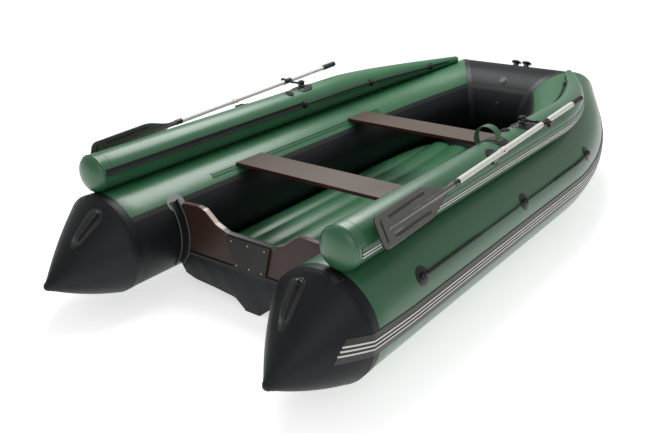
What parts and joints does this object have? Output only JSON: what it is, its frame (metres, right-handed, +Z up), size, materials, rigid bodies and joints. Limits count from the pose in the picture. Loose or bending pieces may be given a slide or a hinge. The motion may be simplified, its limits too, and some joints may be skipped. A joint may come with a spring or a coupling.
{
  "type": "inflatable rowing boat",
  "caption": "Inflatable rowing boat with side tubes, fender tubes above them, pointed stern cones, plywood transom, ribbed floor, sliding thwarts and stowed oars.",
  "frame": {"origin": "under the middle of the boat's length and beam, at the level of the keel's underside", "axes": "+Y to the bow, +X to starboard, +Z up"},
  "size_m": [1.7796, 3.5806, 0.7766],
  "materials": {
    "green": "green PVC-coated cloth, satin",
    "black": "black PVC-coated cloth, satin",
    "rubber": "moulded black PVC",
    "grey_patch": "thin grey film",
    "plywood": "brown film-faced plywood",
    "plate": "black anti-slip plate",
    "fitting": "moulded black nylon",
    "shaft": "pale satin tube",
    "blade": "moulded dark plastic",
    "rope": "braided black line"
  },
  "bodies": {
    "hull": {"side_tube_starboard": "green", "side_tube_port": "green", "bow_tube_starboard": "green", "bow_tube_port": "green", "fender_starboard": "green", "fender_port": "green", "fender_bow_starboard": "green", "fender_bow_port": "green", "floor_deck": "green", "seat_rail_starboard": "green", "seat_rail_port": "green", "loop_strap": "green", "stern_cone_starboard": "black", "stern_cone_port": "black", "front_tube": "black", "hull_bottom": "black", "transom_skirt": "black", "transom_profile_starboard": "black", "transom_profile_port": "black", "strap_base": "black", "grab_line_patches": "black", "rub_strake_starboard": "rubber", "rub_strake_port": "rubber", "rub_strake_front": "rubber", "fender_strake_starboard": "rubber", "fender_strake_port": "rubber", "cone_handle_starboard": "rubber", "cone_handle_port": "rubber", "oar_holders": "rubber", "corner_patches": "grey_patch", "transom_board": "plywood", "engine_plate": "plate", "inner_plate": "plate", "oarlock_pad_starboard": "fitting", "oarlock_pad_port": "fitting", "valves": "fitting", "bow_fitting": "fitting", "grab_lines": "rope", "fender_lines": "rope"},
    "oarlock_starboard": {"oarlock_starboard": "fitting"},
    "oar_starboard": {"oar_shaft_starboard": "shaft", "oar_collars_starboard": "fitting", "oar_grip_starboard": "fitting", "oar_blade_starboard": "blade"},
    "oarlock_port": {"oarlock_port": "fitting"},
    "oar_port": {"oar_shaft_port": "shaft", "oar_collars_port": "fitting", "oar_grip_port": "fitting", "oar_blade_port": "blade"},
    "thwart_aft": {"thwart_aft": "plywood"},
    "thwart_forward": {"thwart_forward": "plywood"}
  },
  "joints": [
    {"name": "oarlock_swivel_starboard", "type": "hinge", "parent": "hull", "child": "oarlock_starboard", "pos_m": [0.70212, 0.12061, 0.73737], "axis": [0, 0, 1], "range_deg": [0, 120]},
    {"name": "oar_lift_starboard", "type": "hinge", "parent": "oarlock_starboard", "child": "oar_starboard", "pos_m": [0.81512, 0.12061, 0.73737], "axis": [-1, 0, 0], "range_deg": [0, 5]},
    {"name": "oarlock_swivel_port", "type": "hinge", "parent": "hull", "child": "oarlock_port", "pos_m": [-0.70212, 0.12061, 0.73737], "axis": [0, 0, -1], "range_deg": [0, 120]},
    {"name": "oar_lift_port", "type": "hinge", "parent": "oarlock_port", "child": "oar_port", "pos_m": [-0.81512, 0.12061, 0.73737], "axis": [-1, 0, 0], "range_deg": [0, 5]},
    {"name": "thwart_slide_aft", "type": "slide", "parent": "hull", "child": "thwart_aft", "axis": [0, 1, 0], "range_m": [-0.15, 0.3]},
    {"name": "thwart_slide_forward", "type": "slide", "parent": "hull", "child": "thwart_forward", "axis": [0, 1, 0], "range_m": [-0.4, 0]}
  ]
}
